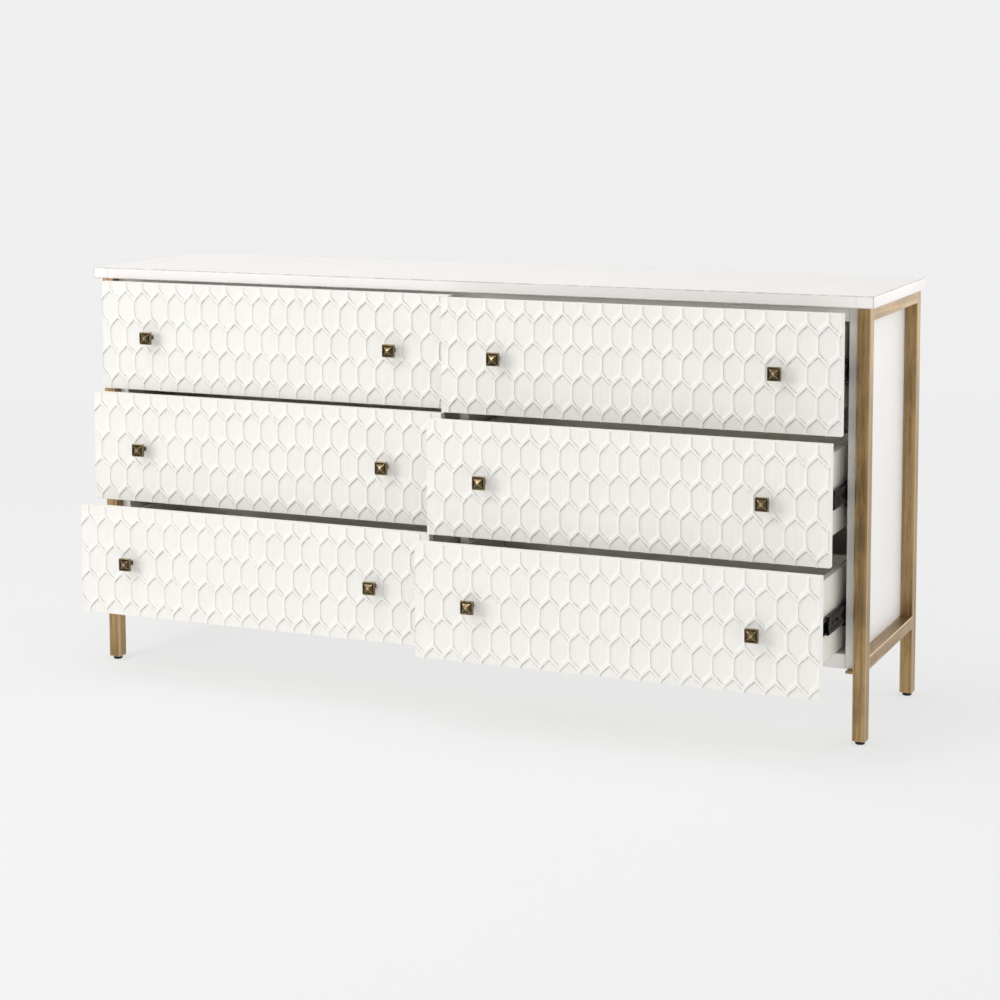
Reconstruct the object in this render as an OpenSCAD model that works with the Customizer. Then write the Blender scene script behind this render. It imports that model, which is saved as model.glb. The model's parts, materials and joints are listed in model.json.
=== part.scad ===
// Six-drawer dresser: a painted wooden case hung between two end frames of square metal tube,
// under a painted top. Two columns of three drawers run on telescopic side slides.
// Millimetres. +X to the right, +Y to the back, +Z up. The origin is on the floor, at the
// centre of the rectangle that the four legs stand on. The drawers are stored part open.

/* [Overall size] */
// Width over the outside faces of the legs
frame_w = 1596; // [1500:1:1800]
// Depth over the outside faces of the legs
frame_d = 382; // [376:1:450]
// Height of the top surface above the floor
total_h = 815; // [800:1:860]

/* [Top] */
// Thickness of the top
top_t = 22; // [18:1:30]
// How far the top reaches past the legs at each end
top_side_reach = 9; // [0:1:30]
// How far the top reaches past the front legs
top_front_reach = 16; // [5:1:30]

/* [Metal end frames] */
// Side of the square tube
tube = 25; // [22:1:30]
// Wall thickness of the square tube
tube_wall = 1.5; // [1:0.1:3]
// Height of the lower rails' underside above the floor
low_rail_z = 135; // [120:1:140]
// Width of the flat bar that carries each side of the case
bar_w = 15; // [10:1:18]
// Thickness of that bar
bar_t = 5; // [3:1:6]

/* [Floor glides] */
// Diameter of a glide's foot
glide_d = 18; // [12:1:22]
// Height of a glide's foot
glide_h = 7; // [4:1:12]
// Diameter of a glide's stud
stud_d = 8; // [6:1:10]

/* [Case] */
// Thickness of the side panels and of the partition
panel_t = 19; // [16:1:22]
// Thickness of the board under the top
case_top_t = 28; // [18:1:32]
// Thickness of the board under the drawers
case_bottom_t = 27; // [18:1:28]
// Thickness of the back panel
back_t = 5; // [3:1:9]
// How far the back panel sits in from the back of the legs
back_inset = 5; // [0:1:10]

/* [Drawer fronts] */
// Thickness of a front
front_t = 20; // [16:1:24]
// Gap between neighbouring fronts
front_gap = 4; // [2:0.5:5]
// Gap between the top row of fronts and the top
under_top_gap = 3; // [2:0.5:5]
// Gap between the fronts and the legs beside them
leg_gap = 3; // [2:0.5:5]
// Height of the lowest front's bottom edge above the floor
front_low_z = 134; // [130:1:140]

/* [Drawer boxes] */
// Height of a box's four boards
box_h = 150; // [110:1:150]
// Height of a box's underside above its front's bottom edge
box_lift = 32; // [28:1:34]
// Depth of a box, front to back
box_d = 338; // [330:1:340]
// Thickness of a box's boards
board_t = 12; // [10:1:15]
// Thickness of a box's bottom panel
bottom_t = 6; // [4:1:8]

/* [Knobs] */
// Side of a knob's square plate
knob_w = 25; // [20:1:32]
// Thickness of that plate
knob_t = 6; // [4:1:8]
// Width of the flat rim round the pyramid on the plate
knob_rim = 3.5; // [2:0.5:5]
// Height of the pyramid on the plate
knob_peak = 4; // [2:0.5:8]
// Length of a knob's stem
stem_l = 18; // [12:1:24]
// Diameter of a knob's stem
stem_d = 11; // [8:1:14]
// Distance of a knob's centre from the end of its front
knob_inset = 115.2; // [80:0.1:160]

/* [Drawer slides] */
// Length of each slide member
slide_l = 330; // [300:1:334]
// Space that a slide takes between a box and the case
slide_gap = 12.7; // [12.7:0.1:14]
// Height of the cabinet member
cabinet_h = 45; // [43:1:47]
// Height of the middle member
middle_h = 34; // [33:0.5:35]
// Height of the drawer member
runner_h = 25; // [24:0.5:26]
// Height of the slide's centre line above the front's bottom edge
slide_rise = 100; // [90:1:110]

/* [How far each drawer is stored open] */
// Upper left drawer
open_upper_left = 48; // [0:1:300]
// Upper right drawer
open_upper_right = 90; // [0:1:300]
// Middle left drawer
open_middle_left = 83; // [0:1:300]
// Middle right drawer
open_middle_right = 156; // [0:1:300]
// Lower left drawer
open_lower_left = 138; // [0:1:300]
// Lower right drawer
open_lower_right = 210; // [0:1:300]

/* [Hidden] */
$fn = 48;
eps = 1; // overrun of a cutting shape past the face that it cuts

paint = [0.93, 0.92, 0.89];
box_paint = [0.88, 0.87, 0.85];
brass = [0.55, 0.43, 0.27];
dark_brass = [0.42, 0.34, 0.20];
black = [0.06, 0.06, 0.06];
steel = [0.60, 0.60, 0.62];

leg_x = frame_w / 2; // outside face of the right legs
leg_y = frame_d / 2; // back face of the back legs
top_under = total_h - top_t;
leg_h = top_under - glide_h;
foot_plate_t = 3; // plate that closes a leg's lower end
stud_clear = 0.4; // a stud's hole is wider than the stud by this
stud_l = 22; // length of a stud above the foot
rail_l = frame_d - 2 * tube;
tube_in = tube - 2 * tube_wall;

case_x = leg_x - tube; // outside face of the right side panel
bay_x = case_x - panel_t; // inside face of the right side panel
case_front_y = -leg_y + front_t + 1; // shut fronts stop 1 mm short of the case
case_back_y = leg_y - back_inset;
case_low_z = front_low_z - 1;
bay_low_z = case_low_z + case_bottom_t;
bay_high_z = top_under - case_top_t;

front_h = (top_under - under_top_gap - front_low_z - 2 * front_gap) / 3;
front_l = case_x - leg_gap - front_gap / 2;
bottom_rise = 10; // underside of a bottom panel above the underside of its box
groove = 5; // depth of the groove that holds a bottom panel
groove_clear = 0.2;

slide_t = 1.2; // sheet that the slide members are rolled from
cabinet_lip = 8.2;
middle_lip = 8.1;
middle_x = 2.2; // back of the middle member from the case's panel
runner_lip = 7.7;
slide_y = case_front_y + 2; // front end of the cabinet members
runner_y = slide_y + 3; // front end of a drawer member while its drawer is shut
cage_l = 110; // length of a ball cage

screw_d = 3.5;
screw_head_d = 6.5;
slide_screw_l = 8;
slide_screw_ends = [25, 165, 305]; // from the front end of a cabinet member
case_screw_l = 30;
case_screw_ends = [60, 191, 322]; // from the front of the legs
knob_screw_d = 4;
knob_thread_l = 12; // how far the screw reaches into the stem
knob_head_d = 8;
knob_head_t = 2.5;

// One row per drawer: name, column (0 left, 1 right), row (0 upper, 2 lower), stored opening
DRAWERS = [
  ["upper_left", 0, 0, open_upper_left],
  ["upper_right", 1, 0, open_upper_right],
  ["middle_left", 0, 1, open_middle_left],
  ["middle_right", 1, 1, open_middle_right],
  ["lower_left", 0, 2, open_lower_left],
  ["lower_right", 1, 2, open_lower_right]
];
DRAWER_PIECES = ["front", "box_sides", "box_ends", "bottom", "knobs", "runners", "middle_slides"];
FRAME_NODES = [
  "top", "front_left_leg", "front_right_leg", "back_left_leg", "back_right_leg", "top_rails",
  "lower_rails", "support_bars", "glides", "left_side_panel", "right_side_panel", "partition",
  "case_top", "case_bottom", "back_panel", "cabinet_slides", "slide_screws", "case_screws"
];

// Left end of a drawer's front, and the two faces of the bay that its box runs in
function front_x(d) = d[1] == 0 ? -front_l - front_gap / 2 : front_gap / 2;
function bay_left(d) = d[1] == 0 ? -bay_x : panel_t / 2;
function bay_right(d) = d[1] == 0 ? -panel_t / 2 : bay_x;
// Bottom edge of the fronts in a row
function front_z(d) = front_low_z + (2 - d[2]) * (front_h + front_gap);
// Front plane of a drawer's front as stored
function front_y(d) = -leg_y - d[3];
// Underside, ends and back of a drawer's box
function box_z(d) = front_z(d) + box_lift;
function box_left(d) = bay_left(d) + slide_gap;
function box_right(d) = bay_right(d) - slide_gap;
function box_y(d) = front_y(d) + front_t;
function knob_xs(d) = [front_x(d) + knob_inset, front_x(d) + front_l - knob_inset];

// ---- metal end frames ----

// Upright tube with its outer left front corner at x, y and a drilled plate in its foot
module leg(x, y) {
  color(brass)
    translate([x, y, glide_h])
      difference() {
        cube([tube, tube, leg_h]);
        translate([tube_wall, tube_wall, foot_plate_t])
          cube([tube_in, tube_in, leg_h]);
        translate([tube / 2, tube / 2, -eps])
          cylinder(d = stud_d + stud_clear, h = foot_plate_t + 2 * eps);
      }
}

// Pair of horizontal tubes between the front and back legs, with their undersides at z
module rails(z) {
  color(brass)
    for (x = [-leg_x, case_x])
      translate([x, -leg_y + tube, z])
        difference() {
          cube([tube, rail_l, tube]);
          translate([tube_wall, -eps, tube_wall])
            cube([tube_in, rail_l + 2 * eps, tube_in]);
        }
}

// Flat bars welded between the legs, which the case stands on
module support_bars() {
  color(brass)
    for (x = [-case_x, case_x - bar_w])
      translate([x, -leg_y + tube / 4, case_low_z - bar_t])
        cube([bar_w, frame_d - tube / 2, bar_t]);
}

module glides() {
  color(black)
    for (x = [-leg_x + tube / 2, leg_x - tube / 2], y = [-leg_y + tube / 2, leg_y - tube / 2])
      translate([x, y, 0]) {
        cylinder(d = glide_d, h = glide_h);
        cylinder(d = stud_d, h = glide_h + stud_l);
      }
}

// ---- case ----

module top() {
  color(paint)
    translate([-leg_x - top_side_reach, -leg_y - top_front_reach, top_under])
      cube([frame_w + 2 * top_side_reach, frame_d + top_front_reach, top_t]);
}

// Upright board from the case's front edge to its back edge
module upright_board(x, z0, z1, y1) {
  color(paint)
    translate([x, case_front_y, z0])
      cube([panel_t, y1 - case_front_y, z1 - z0]);
}

module left_side_panel() upright_board(-case_x, case_low_z, top_under, case_back_y);
module right_side_panel() upright_board(bay_x, case_low_z, top_under, case_back_y);
module partition() upright_board(-panel_t / 2, bay_low_z, bay_high_z, case_back_y - back_t);

// Level board between the side panels
module level_board(z, t) {
  color(paint)
    translate([-bay_x, case_front_y, z])
      cube([2 * bay_x, case_back_y - back_t - case_front_y, t]);
}

module case_top() level_board(bay_high_z, case_top_t);
module case_bottom() level_board(case_low_z, case_bottom_t);

module back_panel() {
  color(paint)
    translate([-bay_x, case_back_y - back_t, case_low_z])
      cube([2 * bay_x, back_t, top_under - case_low_z]);
}

// Screws up through the support bars into the side panels
module case_screws() {
  color(steel)
    for (side = [-1, 1], y = case_screw_ends)
      translate([side * (case_x - bar_w / 2), -leg_y + y, case_low_z - bar_t]) {
        cylinder(d = screw_d, h = case_screw_l);
        translate([0, 0, -2])
          cylinder(d = screw_head_d, h = 2);
      }
}

// ---- drawer slides ----

// Rolled channel along Y with its back at x = 0 and its lips reaching to x = lip
module channel(h, lip) {
  translate([0, 0, -h / 2])
    cube([slide_t, slide_l, h]);
  for (z = [-h / 2, h / 2 - slide_t])
    translate([0, 0, z])
      cube([lip, slide_l, slide_t]);
}

// Places its children at both sides of a drawer's bay: x runs from the case towards the box,
// y from the front end of the member, z from the slide's centre line
module at_both_slides(d, y) {
  z = front_z(d) + slide_rise;
  translate([bay_left(d), y, z])
    children();
  translate([bay_right(d), y, z])
    mirror([1, 0, 0])
      children();
}

module cabinet_slides() {
  color(black)
    for (d = DRAWERS)
      at_both_slides(d, slide_y)
        channel(cabinet_h, cabinet_lip);
}

module slide_screws() {
  color(steel)
    for (d = DRAWERS)
      at_both_slides(d, slide_y)
        for (y = slide_screw_ends)
          translate([slide_t, y, 0])
            rotate([0, -90, 0]) {
              cylinder(d = screw_d, h = slide_screw_l);
              cylinder(d = screw_head_d, h = slide_t / 2);
            }
}

// Middle members, each with its four ball cages, moved by half of the drawer's travel
module middle_slides(d) {
  color(black)
    at_both_slides(d, slide_y - d[3] / 2) {
      translate([middle_x, 0, 0])
        channel(middle_h, middle_lip);
      outer_gap = (cabinet_h - middle_h) / 2 - slide_t;
      inner_gap = (middle_h - runner_h) / 2 - slide_t;
      for (side = [-1, 1]) {
        translate([middle_x + 1.6, slide_l - cage_l - 15, side * (middle_h + outer_gap) / 2])
          ball_cage(outer_gap - 0.6);
        translate([middle_x + 4.4, 15, side * (runner_h + inner_gap) / 2])
          ball_cage(inner_gap - 0.6);
      }
    }
}

// Strip of height h that holds a row of balls between two members
module ball_cage(h) {
  translate([0, 0, -h / 2])
    cube([3.6, cage_l, h]);
}

module runners(d) {
  color(black)
    at_both_slides(d, runner_y - d[3])
      translate([slide_gap, 0, 0])
        mirror([1, 0, 0])
          channel(runner_h, runner_lip);
}

// ---- drawers ----

// Holes for the two knob screws through boards from y to y + t
module knob_holes(d, y, t) {
  for (x = knob_xs(d))
    translate([x, y - eps, front_z(d) + front_h / 2])
      rotate([-90, 0, 0])
        cylinder(d = knob_screw_d + 1, h = t + 2 * eps);
}

module front(d) {
  color(paint)
    difference() {
      translate([front_x(d), front_y(d), front_z(d)])
        cube([front_l, front_t, front_h]);
      knob_holes(d, front_y(d), front_t);
    }
}

// Space of the bottom panel, grown by clear on every side
module bottom_space(d, clear) {
  inset = board_t - groove - clear;
  translate([box_left(d) + inset, box_y(d) + inset, box_z(d) + bottom_rise - clear])
    cube([
      box_right(d) - box_left(d) - 2 * inset,
      box_d - 2 * inset,
      bottom_t + 2 * clear
    ]);
}

module bottom(d) {
  color(box_paint)
    bottom_space(d, 0);
}

module box_sides(d) {
  color(box_paint)
    difference() {
      for (x = [box_left(d), box_right(d) - board_t])
        translate([x, box_y(d), box_z(d)])
          cube([board_t, box_d, box_h]);
      bottom_space(d, groove_clear);
    }
}

module box_ends(d) {
  color(box_paint)
    difference() {
      for (y = [box_y(d), box_y(d) + box_d - board_t])
        translate([box_left(d) + board_t, y, box_z(d)])
          cube([box_right(d) - box_left(d) - 2 * board_t, board_t, box_h]);
      bottom_space(d, groove_clear);
      knob_holes(d, box_y(d), board_t);
    }
}

// Square pyramid: where two crossed wedges overlap
module pyramid(w, h) {
  intersection() {
    rotate([90, 0, 0])
      linear_extrude(w, center = true)
        polygon([[-w / 2, 0], [w / 2, 0], [0, h]]);
    rotate([90, 0, 90])
      linear_extrude(w, center = true)
        polygon([[-w / 2, 0], [w / 2, 0], [0, h]]);
  }
}

// Knob that stands out along +Z, and the screw that holds it from behind
module knob() {
  color(dark_brass)
    difference() {
      union() {
        cylinder(d = stem_d, h = stem_l + eps);
        translate([-knob_w / 2, -knob_w / 2, stem_l])
          cube([knob_w, knob_w, knob_t]);
        translate([0, 0, stem_l + knob_t])
          pyramid(knob_w - 2 * knob_rim, knob_peak);
      }
      translate([0, 0, -eps])
        cylinder(d = knob_screw_d + 0.4, h = knob_thread_l + eps + 0.5);
    }
  color(steel)
    translate([0, 0, -front_t - board_t]) {
      cylinder(d = knob_screw_d, h = front_t + board_t + knob_thread_l);
      translate([0, 0, -knob_head_t])
        cylinder(d = knob_head_d, h = knob_head_t);
    }
}

module knobs(d) {
  for (x = knob_xs(d))
    translate([x, front_y(d), front_z(d) + front_h / 2])
      rotate([90, 0, 0])
        knob();
}

top();
leg(-leg_x, -leg_y);  // front_left_leg
leg(case_x, -leg_y);  // front_right_leg
leg(-leg_x, leg_y - tube);  // back_left_leg
leg(case_x, leg_y - tube);  // back_right_leg
rails(top_under - tube);  // top_rails
rails(low_rail_z);  // lower_rails
support_bars();
glides();
left_side_panel();
right_side_panel();
partition();
case_top();
case_bottom();
back_panel();
cabinet_slides();
slide_screws();
case_screws();
for (d = DRAWERS) {
  front(d);
  box_sides(d);
  box_ends(d);
  bottom(d);
  knobs(d);
  runners(d);
  middle_slides(d);
}
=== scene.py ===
import json
import math

import bmesh
import bpy
import numpy as np
from mathutils import Matrix, Vector


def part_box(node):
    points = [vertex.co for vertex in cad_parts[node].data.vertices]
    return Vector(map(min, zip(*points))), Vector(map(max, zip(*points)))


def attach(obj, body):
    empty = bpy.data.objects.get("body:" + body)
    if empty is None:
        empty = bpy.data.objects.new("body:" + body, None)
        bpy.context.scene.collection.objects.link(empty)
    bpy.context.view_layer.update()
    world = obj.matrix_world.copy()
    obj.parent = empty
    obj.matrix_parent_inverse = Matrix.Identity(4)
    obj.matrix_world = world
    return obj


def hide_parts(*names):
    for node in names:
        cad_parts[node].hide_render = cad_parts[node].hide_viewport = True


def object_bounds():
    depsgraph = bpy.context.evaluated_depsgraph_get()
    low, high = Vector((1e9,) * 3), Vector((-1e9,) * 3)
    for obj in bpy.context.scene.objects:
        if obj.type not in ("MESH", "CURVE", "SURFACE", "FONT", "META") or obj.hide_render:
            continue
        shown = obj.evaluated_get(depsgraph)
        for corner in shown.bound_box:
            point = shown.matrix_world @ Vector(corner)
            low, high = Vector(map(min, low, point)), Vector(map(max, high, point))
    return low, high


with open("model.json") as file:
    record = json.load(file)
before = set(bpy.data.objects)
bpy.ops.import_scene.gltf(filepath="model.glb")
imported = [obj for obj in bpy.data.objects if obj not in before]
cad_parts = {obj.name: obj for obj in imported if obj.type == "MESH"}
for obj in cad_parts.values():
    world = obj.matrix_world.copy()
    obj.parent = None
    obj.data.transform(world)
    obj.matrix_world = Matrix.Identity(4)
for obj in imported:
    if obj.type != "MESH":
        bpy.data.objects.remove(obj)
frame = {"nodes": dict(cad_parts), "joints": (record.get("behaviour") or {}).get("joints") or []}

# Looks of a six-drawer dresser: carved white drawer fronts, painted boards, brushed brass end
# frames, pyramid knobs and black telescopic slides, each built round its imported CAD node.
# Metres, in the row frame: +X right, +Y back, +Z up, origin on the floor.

MM = 0.001
cad_low, cad_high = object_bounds()
DRAWERS = [j["name"].removesuffix("_drawer_slide") for j in frame["joints"]
           if j["name"].endswith("_drawer_slide")]


# ---- camera ----

CAMERA_PLACE = (1.818, -4.197, 1.221)
CAMERA_YAW = -23.402  # degrees from +Y towards +X
CAMERA_PITCH = -5.765  # degrees above the horizon
CAMERA_ROLL = -0.130
CAMERA_LENS = 83.7  # mm, on a 36 mm sensor
CAMERA_SHIFT = -0.20  # part of the frame's height


def make_camera():
    yaw, pitch, roll = (math.radians(a) for a in (CAMERA_YAW, CAMERA_PITCH, CAMERA_ROLL))
    ahead = Vector((math.sin(yaw) * math.cos(pitch), math.cos(yaw) * math.cos(pitch), math.sin(pitch)))
    level_right = Vector((math.cos(yaw), -math.sin(yaw), 0))
    level_up = level_right.cross(ahead)
    right = math.cos(roll) * level_right + math.sin(roll) * level_up
    up = math.cos(roll) * level_up - math.sin(roll) * level_right
    data = bpy.data.cameras.new("camera")
    data.sensor_width = 36
    data.lens = CAMERA_LENS
    data.shift_y = CAMERA_SHIFT
    camera = bpy.data.objects.new("camera", data)
    turn = Matrix((right, up, -ahead)).transposed()
    camera.matrix_world = Matrix.Translation(CAMERA_PLACE) @ turn.to_4x4()
    bpy.context.scene.collection.objects.link(camera)
    bpy.context.scene.camera = camera


# ---- materials ----


class Shader:
    """A material with a Principled shader, and short calls for the nodes that drive it."""

    def __init__(self, name):
        self.material = bpy.data.materials.new(name)
        self.material.use_nodes = True
        self.tree = self.material.node_tree
        self.surface = self.tree.nodes["Principled BSDF"]
        self.object_point = self.node("ShaderNodeTexCoord").outputs["Object"]

    def node(self, kind, **settings):
        made = self.tree.nodes.new(kind)
        for key, value in settings.items():
            setattr(made, key, value)
        return made

    def put(self, socket, value):
        """Links an output to a socket, or sets the socket's own value."""
        if isinstance(value, bpy.types.NodeSocket):
            self.tree.links.new(value, socket)
        elif hasattr(value, "__len__") and len(value) == 3 and len(socket.default_value) == 4:
            socket.default_value = (*value, 1)
        else:
            socket.default_value = value

    def set(self, **values):
        """Sets the Principled shader's sockets: spaces in their names are written as _."""
        for key, value in values.items():
            self.put(self.surface.inputs[key.replace("_", " ")], value)

    def noise(self, scale, stretch=(1, 1, 1), detail=3, rough=0.5, warp=0):
        """Noise from about 0 to 1. scale is in waves per metre, and stretch divides it by axis."""
        mapping = self.node("ShaderNodeMapping")
        self.put(mapping.inputs["Vector"], self.object_point)
        self.put(mapping.inputs["Scale"], [1 / s for s in stretch])
        texture = self.node("ShaderNodeTexNoise")
        self.put(texture.inputs["Vector"], mapping.outputs[0])
        self.put(texture.inputs["Scale"], scale)
        self.put(texture.inputs["Detail"], detail)
        self.put(texture.inputs["Roughness"], rough)
        self.put(texture.inputs["Distortion"], warp)
        return texture.outputs["Fac"]

    def ramp(self, value, low, high, to_low=0, to_high=1):
        """Maps low..high to to_low..to_high, held at both ends."""
        made = self.node("ShaderNodeMapRange")
        self.put(made.inputs["Value"], value)
        for key, number in zip(("From Min", "From Max", "To Min", "To Max"), (low, high, to_low, to_high)):
            self.put(made.inputs[key], number)
        return made.outputs[0]

    def math(self, operation, a, b):
        made = self.node("ShaderNodeMath", operation=operation)
        self.put(made.inputs[0], a)
        self.put(made.inputs[1], b)
        return made.outputs[0]

    def mix(self, share, a, b):
        """Colour a where share is 0, and b where it is 1."""
        made = self.node("ShaderNodeMix", data_type="RGBA")  # its colours are sockets 6, 7 and 2
        self.put(made.inputs[0], share)
        self.put(made.inputs[6], a)
        self.put(made.inputs[7], b)
        return made.outputs[2]

    def attribute(self, name):
        """A weight that the mesh code stored at each vertex."""
        return self.node("ShaderNodeAttribute", attribute_name=name).outputs["Fac"]

    def bump(self, *layers):
        """Adds up bump layers, each a height from 0 to 1 and the real height that 1 stands for."""
        normal = None
        for height, size in layers:
            made = self.node("ShaderNodeBump")
            self.put(made.inputs["Height"], height)
            self.put(made.inputs["Distance"], size)
            if normal is not None:
                self.put(made.inputs["Normal"], normal)
            normal = made.outputs[0]
        self.set(Normal=normal)


ALONG = {"x": (30, 1, 1), "y": (1, 30, 1), "z": (1, 1, 30)}  # stretch of a grain that runs along an axis


def painted_wood(name, colour, grain, wear, roughness=0.42):
    """Satin paint brushed along one axis, rubbed through to a grey undercoat on the arrises."""
    s = Shader(name)
    streaks = s.noise(900, ALONG[grain], detail=4)
    cloud = s.noise(9, detail=2)
    tint = s.mix(s.ramp(cloud, 0.3, 0.7), colour, [c * 0.975 for c in colour])
    tint = s.mix(s.ramp(streaks, 0.35, 0.75, 0, 0.35), tint, [c * 0.93 for c in colour])
    patches = s.ramp(s.noise(60, detail=5, rough=0.7), 0.36, 0.60, 0.35, 1)
    rubbed = s.math("MULTIPLY", s.attribute("wear"), s.math("MULTIPLY", patches, wear))
    s.set(
        Base_Color=s.mix(rubbed, tint, (0.36, 0.33, 0.29)),
        Roughness=s.ramp(streaks, 0.3, 0.7, roughness - 0.05, roughness + 0.09),
        Specular_IOR_Level=0.42,
    )
    s.bump((streaks, 0.05 * MM), (s.noise(160, detail=3), 0.05 * MM))
    return s.material


def carved_paint():
    """Warm white paint over the carving, with a grey wash left in the cuts and dry brush streaks.
    The wash is partly painted shade, heavier on the walls that face away from the light, and the
    rubbed white on the edges is partly painted highlight, stronger on the walls that face the light.
    """
    s = Shader("carved_paint")
    paint = (0.858, 0.840, 0.800)
    streaks = s.noise(750, ALONG["z"], detail=4, rough=0.65)
    cloud = s.noise(14, detail=3)
    tint = s.mix(s.ramp(cloud, 0.3, 0.7), paint, [c * 0.97 for c in paint])
    tint = s.mix(s.ramp(streaks, 0.45, 0.8, 0, 0.5), tint, (0.70, 0.68, 0.63))
    # Lighter paint on the carving's edges: rubbed paint, and a painted highlight on the walls that face the
    # light.
    rubbed = s.math("MULTIPLY", s.attribute("wear"), s.ramp(s.noise(40, detail=4), 0.3, 0.6, 0.6, 1))
    tint = s.mix(rubbed, tint, (0.905, 0.897, 0.872))
    # Grey wash in the cuts: a real wash, and painted shade, heavier on the walls that face away from the
    # light.
    cut = s.attribute("cut")
    broken = s.ramp(s.noise(75, detail=5, rough=0.7), 0.38, 0.60, 0.2, 1)
    wash_and_shade = s.math("MULTIPLY", s.ramp(cut, 0.05, 0.9), broken)
    tint = s.mix(s.math("MULTIPLY", wash_and_shade, 0.92), tint, (0.20, 0.18, 0.145))
    s.set(
        Base_Color=tint,
        Roughness=s.ramp(streaks, 0.3, 0.7, 0.42, 0.55),
        Specular_IOR_Level=0.4,
    )
    s.bump((streaks, 0.09 * MM), (s.noise(120, detail=4, warp=0.4), 0.12 * MM))
    return s.material


def brushed_brass(name, grain):
    """Antique brass brushed along one axis, darker in the brush lines and bright on the arrises, which is
    rubbed brass and a painted highlight along the edges.
    """
    s = Shader(name)
    lines = s.noise(1400, ALONG[grain], detail=5, rough=0.65)
    bands = s.noise(160, ALONG[grain], detail=3)
    patina = s.noise(22, (1, 1, 2), detail=5, rough=0.6)
    tint = s.mix(s.ramp(bands, 0.36, 0.64), (0.215, 0.138, 0.060), (0.430, 0.290, 0.138))
    tint = s.mix(s.ramp(lines, 0.42, 0.70, 0, 0.75), tint, (0.54, 0.375, 0.200))
    tint = s.mix(s.ramp(patina, 0.50, 0.72, 0, 0.45), tint, (0.165, 0.108, 0.058))
    s.set(
        # Bright brass on the arrises: rubbed edges, and a painted highlight along them.
        Base_Color=s.mix(s.math("MULTIPLY", s.attribute("wear"), 0.6), tint, (0.66, 0.50, 0.31)),
        Metallic=1.0,
        Roughness=s.ramp(lines, 0.3, 0.7, 0.30, 0.46),
    )
    s.bump((lines, 0.03 * MM), (bands, 0.05 * MM))
    return s.material


def antique_brass():
    """Dark cast brass with a pitted skin, polished by hands on its high edges, which also carry a painted
    highlight, and with grime in its grooves, where the edge weight is below 0."""
    s = Shader("antique_brass")
    skin = s.noise(420, detail=5, rough=0.7)
    cloud = s.noise(110, detail=2)
    tint = s.mix(s.ramp(skin, 0.35, 0.7), (0.060, 0.043, 0.024), (0.125, 0.092, 0.050))
    tint = s.mix(s.ramp(cloud, 0.45, 0.7, 0, 0.5), tint, (0.155, 0.118, 0.066))
    tint = s.mix(s.ramp(s.attribute("wear"), -1, 0, 1, 0), tint, (0.018, 0.014, 0.009))
    # Polish on the high edges, which is also a painted highlight along them.
    polish_and_highlight = s.math("MULTIPLY", s.attribute("wear"), s.ramp(skin, 0.3, 0.6, 0.5, 1))
    s.set(
        Base_Color=s.mix(polish_and_highlight, tint, (0.74, 0.57, 0.32)),
        Metallic=1.0,
        Roughness=s.ramp(skin, 0.3, 0.7, 0.15, 0.28),
    )
    s.bump((skin, 0.05 * MM), (cloud, 0.08 * MM))
    return s.material


def black_steel():
    """Black coated sheet steel, with a faint rolled grain and light specks."""
    s = Shader("black_steel")
    grain = s.noise(500, ALONG["y"], detail=3)
    specks = s.noise(700, detail=2)
    tint = s.mix(s.ramp(grain, 0.35, 0.7), (0.007, 0.007, 0.007), (0.018, 0.017, 0.017))
    s.set(
        Base_Color=s.mix(s.ramp(specks, 0.62, 0.75, 0, 0.5), tint, (0.08, 0.08, 0.075)),
        Roughness=s.ramp(grain, 0.3, 0.7, 0.34, 0.52),
        Specular_IOR_Level=0.25,
    )
    s.bump((grain, 0.02 * MM), (specks, 0.02 * MM))
    return s.material


def moulded_plastic():
    s = Shader("moulded_plastic")
    skin = s.noise(1500, detail=2)
    s.set(
        Base_Color=s.mix(s.ramp(s.noise(200), 0.35, 0.7), (0.008, 0.008, 0.008), (0.017, 0.016, 0.015)),
        Roughness=s.ramp(skin, 0.3, 0.7, 0.45, 0.62),
        Specular_IOR_Level=0.25,
    )
    s.bump((skin, 0.04 * MM))
    return s.material


def zinc_plate():
    s = Shader("zinc_plate")
    skin = s.noise(900, detail=4)
    s.set(
        Base_Color=s.mix(s.ramp(skin, 0.35, 0.7), (0.42, 0.42, 0.43), (0.66, 0.66, 0.67)),
        Metallic=1.0,
        Roughness=s.ramp(skin, 0.3, 0.7, 0.24, 0.40),
    )
    s.bump((skin, 0.03 * MM))
    return s.material


WHITE = (0.875, 0.855, 0.838)
MATERIALS = {
    "painted_top": painted_wood("top_paint", (0.90, 0.870, 0.848), "x", wear=1.0, roughness=0.34),
    "painted_case": painted_wood("case_paint", WHITE, "z", wear=0.30),
    "carved_front": carved_paint(),
    "drawer_box": painted_wood("box_paint", (0.83, 0.805, 0.735), "x", wear=0.25, roughness=0.5),
    "upright_brass": brushed_brass("upright_brass", "z"),
    "level_brass": brushed_brass("level_brass", "y"),
    "antique_brass": antique_brass(),
    "black_slide_steel": black_steel(),
    "glide_plastic": moulded_plastic(),
    "screw_steel": zinc_plate(),
}


# ---- mesh building ----

ARC_STEPS = 3  # segments in a rounded corner
SUPPORT = 1.6 * MM  # how far the edge weight of an arris reaches onto its faces
TOUCH = 0.01 * MM  # closer points are the same


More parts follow.
